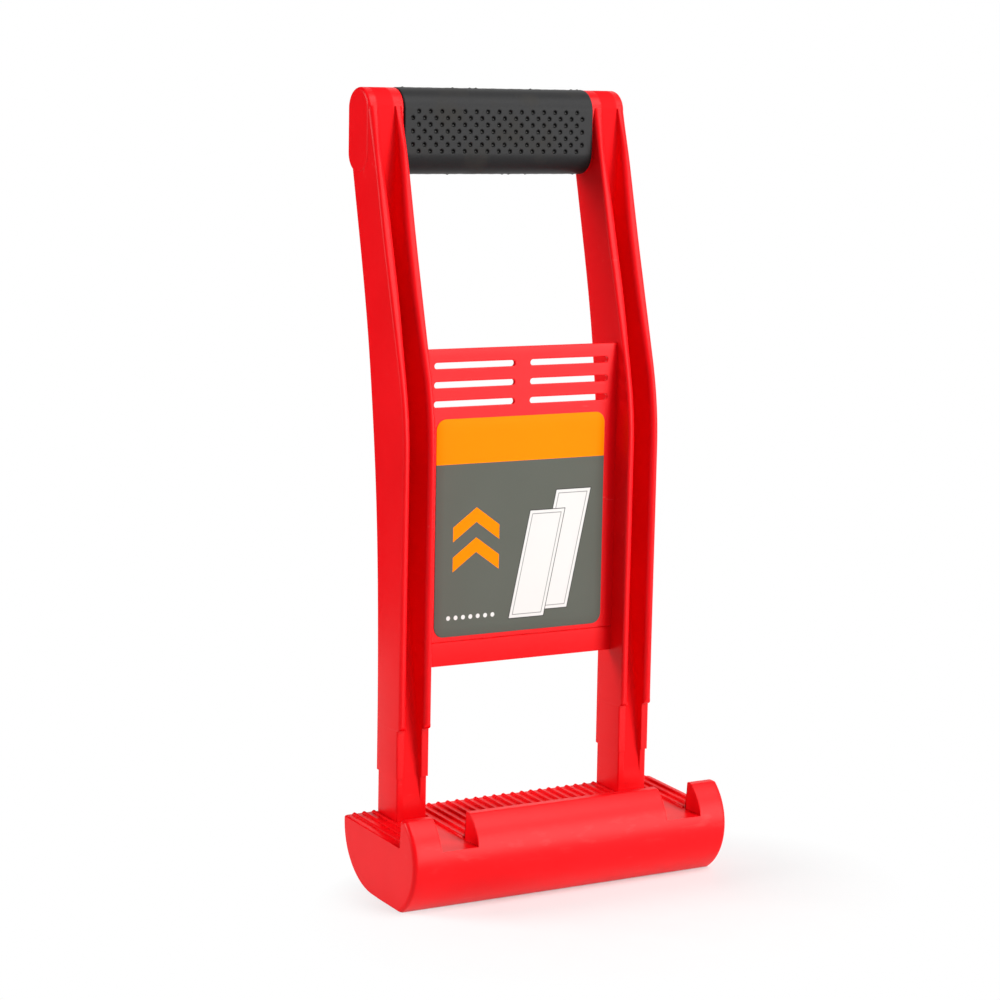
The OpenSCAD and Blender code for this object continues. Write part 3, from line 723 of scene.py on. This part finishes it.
# %% [markdown]
# ## Red moulded plastic
# The frame and foot are glossy red plastic straight from the mould. One even colour would look flat. Real
# mouldings are never quite even: the colour drifts a little, the gloss is duller where the plastic flowed
# last, and handling leaves fine scuffs. These come from noise in the piece's own coordinates. The rails'
# channels are duller than the rest, as moulds are seldom polished inside, and boards leave faint rub marks
# on the nose.

# %% Where the red is rubbed or dull
RUB_FRONT, RUB_LOW, RUB_HIGH = (-0.016, -0.009), (0.018, 0.026), (0.031, 0.036)
CHANNEL_IN, CHANNEL_OUT = (0.0564, 0.0570), (0.0652, 0.0658)
CHANNEL_LOW, CHANNEL_FRONT = (0.034, 0.042), (0.016, 0.018)


def rubbed(y, z):
    """1 on the front of the nose, in the band of heights that boards rub against."""
    return (1 - y.above(*RUB_FRONT)) * z.above(*RUB_LOW) * (1 - z.above(*RUB_HIGH))


def in_channel(x, y, z):
    """1 between a rail's two side walls, above the foot."""
    aside = abs(x)
    between = aside.above(*CHANNEL_IN) * (1 - aside.above(*CHANNEL_OUT))
    return between * z.above(*CHANNEL_LOW) * y.above(*CHANNEL_FRONT)


print("channels from", CHANNEL_IN[0], "to", CHANNEL_OUT[1], "m beside the middle")

# %% Red plastic
SCRATCHES = {"Rotation": (0.5, 0.3, 0.4), "Scale": (60.0, 900.0, 400.0)}
RUBS = {"Scale": (90.0, 90.0, 260.0)}


def red_plastic(name, deep, bright, worn, gloss):
    """Moulded red plastic: colour between two reds, roughness around gloss, gently uneven walls, a faint
    orange peel, and pale scuffs and rub marks."""
    material, tree, place = new_finish(name)
    x, y, z = place.axes()
    drift, fine, sink = place.noise(14.0, 3.0), place.noise(900.0), place.noise(55.0, 1.0)
    scratch = place.moved(SCRATCHES).noise(1.0, 4.0).above(0.66, 0.74)
    scuff = scratch * place.noise(38.0).above(0.56, 0.68)
    rub = place.moved(RUBS).noise(1.0, 7.0).above(0.55, 0.75) * rubbed(y, z)
    colour = (scuff * 0.16 + rub * 0.07).mix(drift.above(0.35, 0.65).mix(deep, bright), worn)
    roughness = gloss + drift * 0.08 + fine * 0.03 + scuff * 0.12 + in_channel(x, y, z) * 0.40
    finish_off(tree, "ShaderNodeBsdfPrincipled", {
        "Base Color": colour, "Roughness": roughness, "Normal": (sink + fine * 0.01).bump(0.12, 0.001),
        "Specular IOR Level": 0.15})
    return material


red = red_plastic("red_moulded_plastic", (0.75, 0.001, 0.004, 1), (0.82, 0.002, 0.006, 1),
                  worn=(1.0, 0.32, 0.30, 1), gloss=0.30)
print(red.name, "nodes:", len(red.node_tree.nodes))

# %% [markdown]
# ## Black grip rubber
# The sleeve is satin rubber. Hands leave a dusty bloom on its skin, which has a fine grain. Each pit is
# painted dark inside as painted shade, with a pale painted highlight low on one wall. Noise could not tell
# where the pits are, so the sleeve carries a mark on every point: 0 on the skin, 1 for a pit's painted shade
# and 2 for its highlight.

# %% Grip rubber
def grip_rubber():
    """Dark grey rubber with a fine grain bump, patches of warm dust, and pits painted dark as shade, each
    with a pale painted highlight.
    """
    material, tree, place = new_finish("grip_rubber_satin")
    grain, dust = place.noise(1500.0, 3.0), place.noise(70.0, 5.0).above(0.5, 0.75)
    mark = tree.make("ShaderNodeAttribute", {"attribute_name": "mark"}, out="Fac")
    clean = grain.above(0.3, 0.7).mix((0.011, 0.011, 0.0115, 1), (0.016, 0.016, 0.0165, 1))
    skin = (dust * 0.6).mix(clean, (0.034, 0.031, 0.026, 1))
    # Painted shade: pit walls and floors are painted almost black, as if in shadow.
    pit_shaded = mark.above(0.0, 1.0).mix(skin, grey(0.002))
    # Painted highlight: the pale spot in each pit, painted where light would catch the wall.
    colour = mark.above(1.0, 2.0).mix(pit_shaded, (0.34, 0.335, 0.32, 1))
    finish_off(tree, "ShaderNodeBsdfPrincipled", {
        "Base Color": colour, "Roughness": 0.42 + dust * 0.14 + grain * 0.05,
        "Normal": grain.bump(0.12, 0.0002), "Specular IOR Level": 0.13})
    return material


rubber = grip_rubber()
print(rubber.name, "nodes:", len(rubber.node_tree.nodes))

# %% [markdown]
# ## Label print
# The film is orange above and warm grey below, and a plain design is printed on the grey: two pale slanted
# bars, two orange chevrons and a row of dots. An image would need a file, and print lies flat, so it is
# drawn by masks in the film's own x and height, with the same lean as the pieces.

# %% Masks of the print
PRINT_EDGE, SLANT = 0.12, 0.22
BACK_BAR, FRONT_BAR, BAR_HALF = (17, 121, 177), (4, 118, 168), 9.5
CHEVRON_X, CHEVRON_HALF, CHEVRON_T, CHEVRON_SLOPE = -24, 12.5, 3.4, 0.7
DOT_X, DOT_V, DOT_PITCH, DOT_ROW_X, DOT_ROW_HALF, DOT_EDGE = -38.5, 120.5, 4.0, -26, 14, (0.95, 1.15)


def within(value, middle, half):
    """1 where a value lies within a half width of a middle, with a soft edge."""
    return 1 - abs(value - middle).above(half - PRINT_EDGE, half + PRINT_EDGE)


def bar(x, up, place, grow=0.0):
    """A slanted strip between two heights; place is the x of its foot and its two heights."""
    foot, low, high = place
    slanted = x - (up - low) * SLANT
    return within(slanted, foot, BAR_HALF + grow) * within(up, (low + high) / 2, (high - low) / 2 + grow)


def chevron(x, up, tip):
    """A strip bent at its middle, which points upwards."""
    bent = up + abs(x - CHEVRON_X) * CHEVRON_SLOPE
    return within(bent, tip, CHEVRON_T) * within(x, CHEVRON_X, CHEVRON_HALF)


def dots(x, up):
    """Round dots: the distance to the nearest point of a row."""
    step = (x - DOT_X) / DOT_PITCH
    offset = {0: (step - step.math("ROUND", step)) * DOT_PITCH, 1: up - DOT_V}
    distance = x.make("ShaderNodeCombineXYZ", None, offset).length()
    return (1 - distance.above(*DOT_EDGE)) * within(x, DOT_ROW_X, DOT_ROW_HALF)


print("bars rise", [high - low for foot, low, high in (BACK_BAR, FRONT_BAR)], "mm")

# %% Label film
INK, PAPER = grey(0.02), (0.70, 0.69, 0.67, 1)
OUTLINE, FRAME_OUT, FRAME_IN, FRAME_INK = 0.35, -1.4, -1.75, 0.7
CHEVRON_TIPS, FIELD_V, FIELD_EDGE = (168, 154), 191.7, 192.0


def print_bar(x, up, place, ground):
    """A pale bar with an ink outline and a fine frame line inside it, over a ground colour."""
    frame_line = (bar(x, up, place, FRAME_OUT) - bar(x, up, place, FRAME_IN)) * FRAME_INK
    outlined = bar(x, up, place, OUTLINE).mix(ground, INK)
    return frame_line.mix(bar(x, up, place).mix(outlined, PAPER), INK)


def label_print():
    """Printed film: grey ground, bars, chevrons and dots, and the orange field above."""
    material, tree, place = new_finish("label_printed_film")
    x, y, z = (axis * (1 / MM) for axis in place.axes())
    up = (y - FRAME_Y) * math.sin(LEAN) + z * math.cos(LEAN)
    tooth, cloud = place.noise(700.0), place.noise(25.0)
    orange = cloud.mix((0.88, 0.222, 0.0, 1), (0.92, 0.238, 0.0, 1))
    colour = cloud.mix((0.097, 0.103, 0.086, 1), (0.110, 0.116, 0.098, 1))
    for bar_place in (BACK_BAR, FRONT_BAR):
        colour = print_bar(x, up, bar_place, colour)
    colour = sum(chevron(x, up, tip) for tip in CHEVRON_TIPS).mix(colour, orange)
    colour = dots(x, up).mix(colour, PAPER)
    colour = up.above(FIELD_V, FIELD_EDGE).mix(colour, orange)
    finish_off(tree, "ShaderNodeBsdfPrincipled", {
        "Base Color": colour, "Roughness": 0.4 + tooth * 0.08, "Normal": tooth.bump(0.04, 0.0001),
        "Specular IOR Level": 0.025})
    return material


film_print = label_print()
print(film_print.name, "nodes:", len(film_print.node_tree.nodes))

# %% [markdown]
# ## Zinc-plated screws
# The screws sit under the foot and inside it. Zinc plating is pale, slightly blue metal. A mirror finish
# would look like chrome, so its gloss is soft and uneven.

# %% Screw zinc
def screw_zinc():
    """Plated steel: metal whose roughness and colour drift with noise."""
    material, tree, place = new_finish("screw_zinc_plate")
    spots = place.noise(900.0, 4.0)
    finish_off(tree, "ShaderNodeBsdfPrincipled", {
        "Base Color": spots.mix((0.50, 0.52, 0.55, 1), (0.68, 0.69, 0.70, 1)),
        "Roughness": 0.26 + spots * 0.18, "Metallic": 1.0})
    return material


zinc = screw_zinc()
print(zinc.name, "nodes:", len(zinc.node_tree.nodes))

# %% [markdown]
# ## Dress every piece
# New pieces stand for their CAD nodes and ride on the one body, because nothing on the carrier moves. Nodes
# whose shape is already right keep their CAD mesh and only get a finish.

# %% Finishes and bodies
new_pieces = ((right_rail, "right_rail", red, "red_plastic"), (left_rail, "left_rail", red, "red_plastic"),
              (foot_tray, "foot_tray", red, "red_plastic"), (grip, "grip_sleeve", rubber, "grip_rubber"),
              (web, "web_panel", red, "red_plastic"), (label, "label", film_print, "label_film"))
for piece, node, finish, slot in new_pieces:
    piece.data.materials.append(finish)
    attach(piece, "root")
    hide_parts(node)

for node, finish in (("handle_bar", red), ("foot_cover", red), ("leg_screws", zinc), ("cover_screws", zinc)):
    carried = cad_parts[node]
    carried.data.materials.clear()
    carried.data.materials.append(finish)
    print(node, "keeps its CAD mesh")

# %% [markdown]
# ## Floor
# A pale sheet of paper carries the soft shadow. Lit paper never comes out quite white, and a brighter lamp
# would bleach the object. So the paper glows for rays that show the background, least of all close to the
# object, where the shadow lies. Seen from below it is clear.

# %% Floor
FLOOR_HALF, FLOOR_Z = 6, -0.0002
SEEN_RAYS = ("Is Camera Ray", "Is Glossy Ray", "Is Transmission Ray")
SHADOW_AREA = {"Location": (-0.0128, 0.0455, 0.0), "Scale": (0.85, 1.3, 1.0)}
SHADOW_FROM, SHADOW_TO, GLOW_IN_SHADOW = 0.05, 0.13, 0.32


def flat_sheet(name, corners):
    """A sheet with four corners."""
    mesh = bpy.data.meshes.new(name)
    mesh.from_pydata(corners, [], [(0, 1, 2, 3)])
    sheet = bpy.data.objects.new(name, mesh)
    bpy.context.scene.collection.objects.link(sheet)
    return sheet


def seen_directly(tree):
    """1 for rays that show the background: from the camera, in a reflection or through something clear."""
    rays = tree.make("ShaderNodeLightPath").socket.node.outputs
    return sum(Wire(tree.tree, rays[name]) for name in SEEN_RAYS).above(0.0, 1.0)


def studio_paper():
    """Diffuse paper that glows white where it is seen directly and lies away from the object."""
    material, tree, place = new_finish("studio_paper")
    away_from_it = place.moved(SHADOW_AREA).length().above(SHADOW_FROM, SHADOW_TO)
    glowing = seen_directly(tree) * (GLOW_IN_SHADOW + away_from_it * (1 - GLOW_IN_SHADOW))
    fibre = place.noise(40.0).mix(grey(0.80), grey(0.84))
    diffuse = tree.make("ShaderNodeBsdfDiffuse", None, {"Color": fibre})
    glow = tree.make("ShaderNodeEmission", None, {"Color": grey(1), "Strength": 1.0})
    sheet = tree.make("ShaderNodeMixShader", None, {0: glowing, 1: diffuse, 2: glow})
    below = tree.make("ShaderNodeNewGeometry", out="Backfacing")
    finish_off(tree, "ShaderNodeMixShader", {0: below, 1: sheet, 2: tree.make("ShaderNodeBsdfTransparent")})
    return material


floor = flat_sheet("studio_floor", [(x * FLOOR_HALF, y * FLOOR_HALF, FLOOR_Z)
                                    for x, y in ((-1, -1), (1, -1), (1, 1), (-1, 1))])
floor.data.materials.append(studio_paper())
print("floor:", 2 * FLOOR_HALF, "m wide")

# %% [markdown]
# ## Dark card
# In a studio a dark card often hangs beside a glossy object, so that its side faces mirror the card and keep
# their deep colour. A darker red would spoil the other faces. This card hangs behind and to the left, above
# the floor, and only reflections see it.

# %% Dark card
CARD_X, CARD_Y, CARD_Z = (-0.60, 0.02), 0.25, (0.05, 0.70)
card = flat_sheet("dark_card", [(CARD_X[0], CARD_Y, CARD_Z[0]), (CARD_X[1], CARD_Y, CARD_Z[0]),
                                (CARD_X[1], CARD_Y, CARD_Z[1]), (CARD_X[0], CARD_Y, CARD_Z[1])])
card.visible_camera = card.visible_diffuse = card.visible_shadow = card.visible_transmission = False
felt, tree, place = new_finish("dark_felt")
finish_off(tree, "ShaderNodeBsdfDiffuse", {"Color": place.noise(300.0).mix(grey(0.010), grey(0.016))})
card.data.materials.append(felt)
print("card from", CARD_Z[0], "to", CARD_Z[1], "m above the floor")

# %% [markdown]
# ## World
# The background is white where the camera or a reflection sees it. As a light it is much weaker, because an
# even glow from all sides would wash out the shapes that the lamps bring out.

# %% World
WORLD_LIGHT = 0.11
world = bpy.data.worlds.new("studio_world")
bpy.context.scene.world = world
world.use_nodes = True
world.node_tree.nodes.clear()
sky = Wire(world.node_tree)
strength = seen_directly(sky) * (1 - WORLD_LIGHT) + WORLD_LIGHT
backdrop = sky.make("ShaderNodeBackground", None, {"Color": grey(1), "Strength": strength})
sky.make("ShaderNodeOutputWorld", None, {"Surface": backdrop})
print("world light:", WORLD_LIGHT)

# %% [markdown]
# ## Lamps
# Three large soft lamps stand round the object, at a plain level, so that the red renders about as it is
# written. Small lamps would give hard highlights. The right lamp draws the long highlight on the nose, the
# top lamp the one on the lip, and the left lamp keeps the left faces from going dark.

# %% Lamps
def placed(right, up, ahead, place):
    """A matrix from the directions to the right, up and ahead, and a place."""
    return Matrix(np.vstack([np.column_stack([right, up, -ahead, place]), [0, 0, 0, 1]]).tolist())


def soft_lamp(name, place, aim, size, watts, spread):
    """A square area lamp at a place, turned towards a point; spread, in degrees, narrows its light."""
    lamp = bpy.data.lights.new(name, "AREA")
    lamp.size, lamp.energy, lamp.spread = size, watts, math.radians(spread)
    holder = bpy.data.objects.new(name, lamp)
    ahead = np.array(aim, float) - np.array(place, float)
    ahead /= np.linalg.norm(ahead)
    right = np.cross(ahead, (0, 0, 1.0))
    right /= np.linalg.norm(right)
    holder.matrix_world = placed(right, np.cross(right, ahead), ahead, place)
    bpy.context.scene.collection.objects.link(holder)
    print(name, watts, "W")


soft_lamp("left_lamp", (-1.85, 0.7, 0.9), (0, 0, 0.2), size=1.0, watts=6.1, spread=70)
soft_lamp("right_lamp", (1.25, -1.8, 0.65), (0, 0, 0.15), size=1.25, watts=23, spread=140)
soft_lamp("top_lamp", (0.65, -0.95, 1.75), (0, 0, 0.1), size=1.25, watts=20, spread=140)

# %% [markdown]
# ## Camera
# The camera stands where the photograph was taken: to the left, a little above, slightly rolled. It could be
# placed by eye, but its place and lens were fitted to the straight edges of the web, the legs and the foot.

# %% Camera
AZIMUTH, PITCH, ROLL = (math.radians(a) for a in (-32.586, 11.672, 3.422))
EYE_PLACE, LENS, SENSOR = (-0.73942, -1.09828, 0.45253), 107.42, 36.0
ahead = np.array([-math.sin(AZIMUTH) * math.cos(PITCH), math.cos(AZIMUTH) * math.cos(PITCH),
                  -math.sin(PITCH)])
level = np.array([math.cos(AZIMUTH), math.sin(AZIMUTH), 0.0])
above = np.cross(level, ahead)
right = level * math.cos(ROLL) + above * math.sin(ROLL)
up = above * math.cos(ROLL) - level * math.sin(ROLL)
eye = bpy.data.cameras.new("photo_camera")
eye.sensor_width, eye.lens = SENSOR, LENS
eye.clip_start, eye.clip_end = 0.05, 50.0
camera = bpy.data.objects.new("photo_camera", eye)
camera.matrix_world = placed(right, up, ahead, EYE_PLACE)
bpy.context.scene.collection.objects.link(camera)
bpy.context.scene.camera = camera
print("camera", round(float(np.linalg.norm(EYE_PLACE)), 2), "m from the origin")

bpy.context.scene.view_settings.view_transform = "Standard"
bpy.context.view_layer.update()
